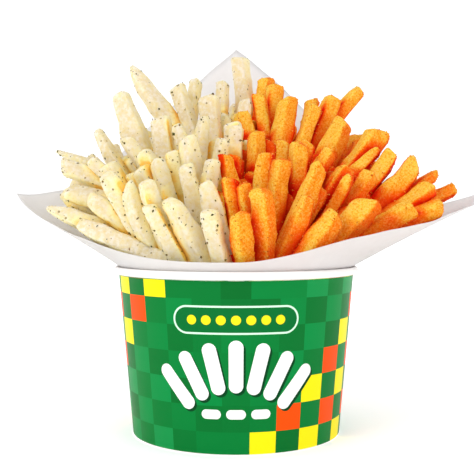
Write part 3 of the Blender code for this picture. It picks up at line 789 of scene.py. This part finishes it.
def fry_rods(feet, tips, widths, points, seed, crust):
    """Surfaces of many fries at once, as (fry, ring, point around, xyz), with their poles.

    A fry is a rounded square, |x|^5 + |y|^5 = 1, carried from foot to tip. Its middle line
    is bent by a parabola and a sine; it narrows to its tip width by a power; the last is a cap,
    (1 - q^4)^0.36, cut at a slant; slow sines along and around give lumps, and seeded noise of
    the crust's height roughens it."""
    rng = np.random.default_rng(seed)
    total = len(feet)
    body, around = 22, 20
    cap_q = np.array([0.0, 0.35, 0.62, 0.82, 0.94, 0.99])
    length = np.linalg.norm(tips - feet, axis=1)
    cap = widths * (0.3 + 0.5 * (1 - points)) / length
    s = np.concatenate([np.linspace(0, 1, body)[None, :-1] * (1 - cap)[:, None],
                        (1 - cap)[:, None] + cap[:, None] * cap_q[None]], axis=1)
    rings = s.shape[1]
    tip_cap = np.concatenate([np.ones(body - 1), (1 - cap_q ** 4) ** 0.36])

    def draw(spread):
        return rng.normal(0.0, spread, (total, 1))

    way = (tips - feet) / length[:, None]
    flat = np.cross(way, (0.0, -1.0, 0.0))
    flat /= np.linalg.norm(flat, axis=1, keepdims=True)
    deep = np.cross(way, flat)
    turn = rng.uniform(-42.0, 42.0, (total, 1)) * DEG + draw(0.14) * s
    across = flat[:, None] * np.cos(turn)[..., None] + deep[:, None] * np.sin(turn)[..., None]
    thick = deep[:, None] * np.cos(turn)[..., None] - flat[:, None] * np.sin(turn)[..., None]

    bow = np.clip(draw(0.016), -0.03, 0.03) * length[:, None]
    sway = np.clip(draw(0.007), -0.012, 0.012) * length[:, None]
    line = feet[:, None] + way[:, None] * (s * length[:, None])[..., None]
    line = line + across * (bow * 4 * s * (1 - s) + sway * np.sin(2 * math.pi * s + draw(2.0)))[..., None]
    line = line + thick * (draw(0.008) * length[:, None] * 4 * s * (1 - s))[..., None]

    ramp = np.clip((s - 0.5) / 0.5, 0.0, 1.0)
    narrow = 1 - (1 - points)[:, None] * ramp ** 2.6
    wave = draw(2.0)
    along = s * length[:, None]
    swell = 1 + 0.05 * np.sin(along * 130 + wave) + 0.04 * np.sin(along * 300 + 2 * wave)
    half = widths[:, None] / 2 * narrow * swell * tip_cap
    squash = 1 + np.clip(draw(0.09), -0.16, 0.16)

    theta = (np.arange(around) + 0.5) * 2 * math.pi / around
    corner = 2 / 5.0
    cos = np.sign(np.cos(theta)) * np.abs(np.cos(theta)) ** corner
    sin = np.sign(np.sin(theta)) * np.abs(np.sin(theta)) ** corner
    dents = 1 + 0.035 * np.sin(2 * theta + (along * 120 + wave)[..., None])
    dents += 0.03 * np.sin(3 * theta + (along * 420 + 3 * wave)[..., None])
    rough = rng.normal(0.0, 1.0, (total, rings, around))
    rough = (rough + 0.5 * np.roll(rough, 1, axis=2) + 0.5 * np.roll(rough, 1, axis=1)) / 1.22
    reach = half[..., None] * dents + rough * crust * np.clip(tip_cap, 0.3, 1.0)[None, :, None]
    u, v = reach * cos * squash[..., None], reach * sin / squash[..., None]
    slant = draw(0.28)[..., None] * u + draw(0.28)[..., None] * v
    slant = slant * (np.clip((s - 1 + 2.2 * cap[:, None]) / (2.2 * cap[:, None]), 0.0, 1.0) ** 1.5)[..., None]
    surface = (line[:, :, None] + across[:, :, None] * u[..., None] + thick[:, :, None] * v[..., None]
               + way[:, None, None] * slant[..., None])
    ends = np.stack([feet, line[:, -1] + way * (cap * length * (1 - cap_q[-1]))[:, None]], axis=1)
    outward = (across[:, :, None] * (np.sign(cos) * np.abs(cos) ** 6)[:, None]
               + thick[:, :, None] * (np.sign(sin) * np.abs(sin) ** 6)[:, None])
    outward /= np.linalg.norm(outward, axis=-1, keepdims=True)
    return surface, ends, outward


def bare(surface, outward, first):
    """Painted shade at each point of a surface, 0 to 1: one less the lit share. The lit share is
    0.7 plus 0.65 of the facing to the light's side (above, left and front), times the openness,
    which is the gap from a probe 2 mm out to the nearest other fry's side, over 4 mm. In the painted
    shadow of another fry, where that one closes the line to the same side, it is about halved."""
    lines, half = all_tips - all_feet, all_widths / 2
    square = (lines ** 2).sum(axis=1)
    toward = lines @ PAINTED_LIGHT_FROM
    # Painted light: the lit share grows with the facing to the light's side.
    lit_cover = np.clip(0.7 + 0.65 * outward @ PAINTED_LIGHT_FROM, 0.0, 1.0)
    for row in range(len(surface)):
        probe = surface[row] + outward[row] * 2 * MM
        from_foot = probe[:, :, None] - all_feet
        beside, ahead = (from_foot * lines).sum(axis=3), from_foot @ PAINTED_LIGHT_FROM
        share = np.clip(beside / square, 0.0, 1.0)
        gap = np.linalg.norm(from_foot - share[..., None] * lines, axis=3) - half
        share = np.clip((beside - toward * ahead) / (square - toward ** 2), 0.0, 1.0)
        reach = np.clip(toward * share - ahead, 0.0, None)[..., None] * PAINTED_LIGHT_FROM
        clear = np.linalg.norm(from_foot + reach - share[..., None] * lines, axis=3) - half
        gap[:, :, first + row] = clear[:, :, first + row] = 1.0
        # Painted shadow where another fry blocks the line to the light, and painted shade where fries crowd
        # each other.
        painted_shadow = np.clip(0.5 - clear.min(axis=2) / OPEN_REACH, 0.0, 1.0)
        lit_cover[row] *= np.clip(gap.min(axis=2) / OPEN_REACH, 0.0, 1.0) * (1 - 0.5 * painted_shadow)
    return 1 - lit_cover


def rod_skin(name, surface, ends, **values):
    """One mesh of all the fries: rings joined by quads, both ends closed by a fan of triangles."""
    total, rings, around = surface.shape[:3]
    size = rings * around
    first = np.arange(total)[:, None] * size
    quads = (between_rings(rings, around)[None] + first[..., None]).reshape(-1, 4)
    here = np.arange(around)[None]
    after = (here + 1) % around
    foot = total * size + 2 * np.arange(total)[:, None] + 0 * here
    last = first + size - around
    below = np.stack([foot, first + after, first + here], axis=2).reshape(-1, 3)
    above = np.stack([last + here, last + after, foot + 1], axis=2).reshape(-1, 3)
    points = np.concatenate([surface.reshape(-1, 3), ends.reshape(-1, 3)])
    full = {key: np.concatenate([value.ravel(), value[:, [0, -1], 0].ravel()])
            for key, value in values.items()}
    return skin(name, points, [quads, below, above], **full)


herb_rows = heap_lines(-1, HERB_SEEN)
cheese_rows = heap_lines(1, CHEESE_SEEN)
all_feet, all_tips = settle(*(np.concatenate([herb_rows[k], cheese_rows[k]]) for k in (0, 1, 2, 4)))
all_widths = np.concatenate([herb_rows[2], cheese_rows[2]])
herb_count = len(herb_rows[0])


def herb_fry_finish():
    """Cream potato under white powder, golden in painted shade where fries face each other, turn
    away from the light or lie in another fry's shadow. Herb specks are the middles of a cell
    pattern's cells, each out to a random share of the reach, with noise in their outlines.
    The surface is finely uneven."""
    fry = Paint("herb_fry", Specular_IOR_Level=0.2, Subsurface_Weight=0.6, Subsurface_Scale=0.008,
                Subsurface_Radius=(1.0, 0.94, 0.66))
    in_shade = fry.stored("bare")
    patches = fry.noise(120.0, detail=3.0)
    powder = fry.noise(420.0, detail=3.0, roughness=0.6)
    # Painted shade: the colour runs from lit cream to golden as the stored painted shade rises, with random
    # patches.
    colour = fry.ramp(in_shade + (patches - 0.5) * 0.7, (0.0, ink(223, 208, 174)),
                      (0.55, ink(242, 230, 176)), (0.85, ink(250, 224, 146)), (1.0, ink(249, 196, 84)))
    # Lighter powder patches, kept to where the painted light falls.
    lit_cover = ((powder - 0.48) * 6.0).between(0.0, 0.75) * (1.0 - in_shade)
    colour = fry.mix(lit_cover, colour, ink(232, 223, 208))
    colour = fry.mix(((0.44 - powder) * 6.0).between(0.0, 0.4), colour, ink(226, 202, 128))
    ripple = fry.node("ShaderNodeTexNoise", {}, {"Vector": fry.place(), "Scale": 1400.0}, out=1)
    wander = fry.node("ShaderNodeMix", {"data_type": "VECTOR"},
                      {0: SPECK_WANDER, 4: fry.place(), 5: ripple}, out=1)
    cells = {"Vector": wander, "Scale": SPECKS_PER_METRE, "Randomness": 1.0}
    dots = fry.node("ShaderNodeTexVoronoi", {}, cells)
    lot = fry.node("ShaderNodeSeparateXYZ", {}, {0: fry.node("ShaderNodeTexVoronoi", {}, cells, out=1)})
    speck = dots < (lot * SPECK_REACH)
    fry.give(Base_Color=fry.mix(speck * 0.8, colour, ink(132, 108, 46)), Roughness=0.5 + powder * 0.3)
    fry.relief(powder + patches * 1.5 + fry.noise(1500.0, detail=2.0) * 0.25, 0.6 * MM, 0.9)
    return fry


surface, ends, outward = fry_rods(all_feet[:herb_count], all_tips[:herb_count],
                                  herb_rows[2], herb_rows[3], SEED + 40, 0.1 * MM)
fit(rod_skin("herb_fry_sticks", surface, ends, bare=bare(surface, outward, 0)),
    herb_fry_finish(), "herb_fry", "herb_fries")

# The herb flakes: crumbled dried leaf, in dark and brownish green, half a millimetre to two
# and a half long and often narrow, stuck flat in the powder all over the pale fries.
def grains(name, surface, outward, count, clear, sizes, tall, narrowest, seed):
    """Small lumps on a surface of fries, at points drawn from all but so many rings at the foot
    and at the tip. A size in mm is the least, plus the spread times a random number to a power.
    A lump is an uneven ring of four points between a peak and a root, both at the tall share of
    its size, and it is as wide as the narrowest share of its length or more."""
    rng = np.random.default_rng(seed)
    pick = (rng.integers(0, surface.shape[0], count),
            rng.integers(clear[0], surface.shape[1] - clear[1], count),
            rng.integers(0, surface.shape[2], count))
    least, spread, power = sizes
    size = (least + spread * rng.random(count) ** power) * MM
    at, out = surface[pick], outward[pick]

    rng = np.random.default_rng(seed + 1)
    around = 4
    side = np.cross(out, rng.normal(0.0, 1.0, out.shape))
    side /= np.linalg.norm(side, axis=1, keepdims=True)
    other = np.cross(out, side)
    theta = np.arange(around) * 2 * math.pi / around
    reach = size[:, None] * rng.uniform(0.6, 1.2, (count, around)) / 2
    stretch = rng.uniform(narrowest, 1.0, (count, 1))
    ring = (at[:, None] + side[:, None] * (reach * np.cos(theta))[..., None]
            + other[:, None] * (reach * stretch * np.sin(theta))[..., None])
    peak = at + out * (size * tall)[:, None]
    root = at - out * (size * tall)[:, None]
    points = np.concatenate([ring, peak[:, None], root[:, None]], axis=1)
    first = np.arange(count)[:, None] * (around + 2)
    here = np.arange(around)[None]
    after = (here + 1) % around
    above = np.stack([first + here, first + after, first + around + 0 * here], axis=2).reshape(-1, 3)
    below = np.stack([first + after, first + here, first + around + 1 + 0 * here], axis=2).reshape(-1, 3)
    tint = np.repeat(rng.uniform(0.0, 1.0, count), around + 2)
    return skin(name, points, [above, below], tint=tint)


def grain_finish(name, stops, dust_scale, share, dust_colour, gloss, depth=0.0):
    """Each lump's own tint picks its colour from the stops, and fine noise adds a share of the
    dust's colour and raises the surface by a depth. Gloss is roughness and specular level."""
    paint = Paint(name, Roughness=gloss[0], Specular_IOR_Level=gloss[1])
    colour = paint.ramp(paint.stored("tint"), *stops)
    dust = paint.noise(dust_scale)
    paint.give(Base_Color=paint.mix(dust * share, colour, dust_colour))
    if depth:
        paint.relief(dust, depth)
    return paint


leaf_greens = ((0.0, ink(54, 60, 14)), (0.35, ink(88, 86, 26)),
               (0.7, ink(126, 104, 42)), (1.0, ink(138, 88, 36)))
fit(grains("herb_flakes", surface, outward, count=5600, clear=(8, 2), sizes=(0.5, 2.1, 3),
           tall=0.12, narrowest=0.15, seed=SEED + 50),
    grain_finish("herb_flake", leaf_greens, 2200.0, 0.4, ink(46, 44, 12), (0.75, 0.3), 0.1 * MM),
    "herb_fry", "herb_fries")

# The powder crumbs: lumps of the white powder that stand proud of the herb fries, 0.5 to
# 1.2 mm across, from white to the cream of the potato.
crumb_creams = ((0.0, ink(222, 198, 128)), (0.4, ink(230, 214, 168)), (1.0, ink(238, 228, 213)))
fit(grains("powder_crumbs", surface, outward, count=16000, clear=(6, 1), sizes=(0.5, 0.7, 2),
           tall=0.3, narrowest=0.4, seed=SEED + 54),
    grain_finish("powder_crumb", crumb_creams, 3000.0, 0.3, ink(238, 212, 152), (0.8, 0.2)),
    "herb_fry", "herb_fries")

# The cheese fries: the same cut under a thick grainy coat of orange cheese powder. They
# fill the right half, painted orange where lit and deep red in painted shade where they shade each other.
def cheese_fry_finish():
    """Orange powder: lighter grains and darker pits by fine noise, and painted shade that turns it
    red where fries face each other, turn away from the light or lie in another fry's shadow."""
    fry = Paint("cheese_fry", Specular_IOR_Level=0.05, Subsurface_Weight=0.3, Subsurface_Scale=0.004,
                Subsurface_Radius=(1.0, 0.3, 0.08))
    in_shade = fry.stored("bare")
    patches = fry.noise(110.0, detail=3.0)
    powder = fry.noise(850.0, detail=5.0, roughness=0.8)
    coarse = fry.noise(420.0, detail=3.0)
    # Painted shade: the colour runs from lit yellow-orange to deep red as the stored painted shade rises.
    colour = fry.ramp(in_shade + (patches - 0.5) * 0.6, (0.0, ink(255, 198, 62)),
                      (0.3, ink(255, 164, 30)), (0.58, ink(255, 122, 8)),
                      (0.82, ink(252, 80, 0)), (1.0, ink(228, 26, 0)))
    # Lighter grains, kept to where the painted light falls.
    lit_cover = ((powder - 0.49) * 7.0).between(0.0, 0.85) * (1.0 - in_shade)
    colour = fry.mix(lit_cover, colour, ink(255, 216, 116))
    colour = fry.mix(((0.47 - powder) * 8.0).between(0.0, 0.65), colour, ink(228, 98, 0))
    fry.give(Base_Color=colour, Roughness=0.6 + powder * 0.3)
    fry.relief(powder + coarse * 0.9, 0.7 * MM, 0.9)
    return fry


surface, ends, outward = fry_rods(all_feet[herb_count:], all_tips[herb_count:],
                                  cheese_rows[2], cheese_rows[3], SEED + 42, 0.2 * MM)
fit(rod_skin("cheese_fry_sticks", surface, ends, bare=bare(surface, outward, herb_count)),
    cheese_fry_finish(), "cheese_fry", "cheese_fries")

# The cheese grains: loose crumbs of the coat that stand proud of it, 0.5 to 1.4 mm across,
# light where they catch the light and rust-brown here and there.
grain_oranges = ((0.0, ink(190, 74, 0)), (0.3, ink(240, 128, 16)),
                 (0.65, ink(255, 172, 44)), (1.0, ink(255, 208, 104)))
fit(grains("cheese_grains", surface, outward, count=23000, clear=(6, 1), sizes=(0.5, 0.9, 2),
           tall=0.34, narrowest=0.4, seed=SEED + 52),
    grain_finish("cheese_grain", grain_oranges, 3000.0, 0.4, ink(230, 104, 12), (0.8, 0.2)),
    "cheese_fry", "cheese_fries")

# The studio: a plain white floor that runs out of sight and glows with painted light, soft even
# light all round, and a large soft lamp from the upper left in front. The camera is level with
# the heap's middle.
FLOOR_R = 9.0
FLOOR_Z = -0.2 * MM
LIT_POINT = (0.0, 0.0, 0.12)
CAMERA_BACK = 519 * MM
CAMERA_Z = 122 * MM
CAMERA_TILT = 89 * DEG
WORLD_LIGHT = 0.84
SEEN_BRIGHTER = 0.3

# Painted light: the floor glows by itself. The glow is dim grey within 0.15 m of its middle, under the tub,
# and rises to near white about a metre out, so the floor fades into the white background. The glow also
# lights the tub from below.
floor = Paint("white_floor", Roughness=0.9, Specular_IOR_Level=0.0,
              Base_Color=ink(252, 252, 252), Emission_Strength=1.0)
away = floor.node("ShaderNodeVectorMath", {"operation": "LENGTH"}, {0: floor.place()}, out="Value")
floor.give(Emission_Color=floor.mix(((away - 0.15) * 1.2).between(0.0, 1.0),
                                    ink(142, 142, 142), ink(236, 236, 236)))
floor_mesh = bpy.data.meshes.new("studio_floor")
turns = np.arange(64) * 2 * math.pi / 64
floor_mesh.from_pydata([(FLOOR_R * math.cos(t), FLOOR_R * math.sin(t), FLOOR_Z) for t in turns],
                       [], [range(64)])
floor_mesh.materials.append(floor.material)
in_scene("studio_floor", floor_mesh)


def softbox(name, place, size, power):
    """A square area lamp that faces the lit point."""
    lamp = bpy.data.lights.new(name, "AREA")
    lamp.size = size
    lamp.energy = power
    obj = in_scene(name, lamp)
    obj.location = place
    obj.rotation_euler = (Vector(LIT_POINT) - Vector(place)).to_track_quat("-Z", "Y").to_euler()


softbox("key", (-0.85, -0.95, 0.95), 0.6, 6.2)
softbox("fill", (0.9, -1.1, 0.5), 0.9, 2.0)

world = bpy.data.worlds.new("studio")
world.use_nodes = True
world.node_tree.nodes["Background"].inputs["Color"].default_value = (1.0, 1.0, 1.0, 1.0)
ray = world.node_tree.nodes.new("ShaderNodeLightPath")
level = world.node_tree.nodes.new("ShaderNodeMath")
level.operation = "MULTIPLY_ADD"
level.inputs[1].default_value = SEEN_BRIGHTER
level.inputs[2].default_value = WORLD_LIGHT
world.node_tree.links.new(ray.outputs["Is Camera Ray"], level.inputs[0])
world.node_tree.links.new(level.outputs[0], world.node_tree.nodes["Background"].inputs["Strength"])
bpy.context.scene.world = world
bpy.context.scene.view_settings.view_transform = "Standard"

camera_data = bpy.data.cameras.new("camera")
camera_data.lens = 67.2
camera_data.sensor_width = 36.0
camera_data.clip_start = 0.01
camera = in_scene("camera", camera_data)
camera.location = (AXIS[0] + 0.5 * MM, AXIS[1] - CAMERA_BACK, CAMERA_Z)
camera.rotation_euler = (CAMERA_TILT, 0.0, 0.0)
bpy.context.scene.camera = camera
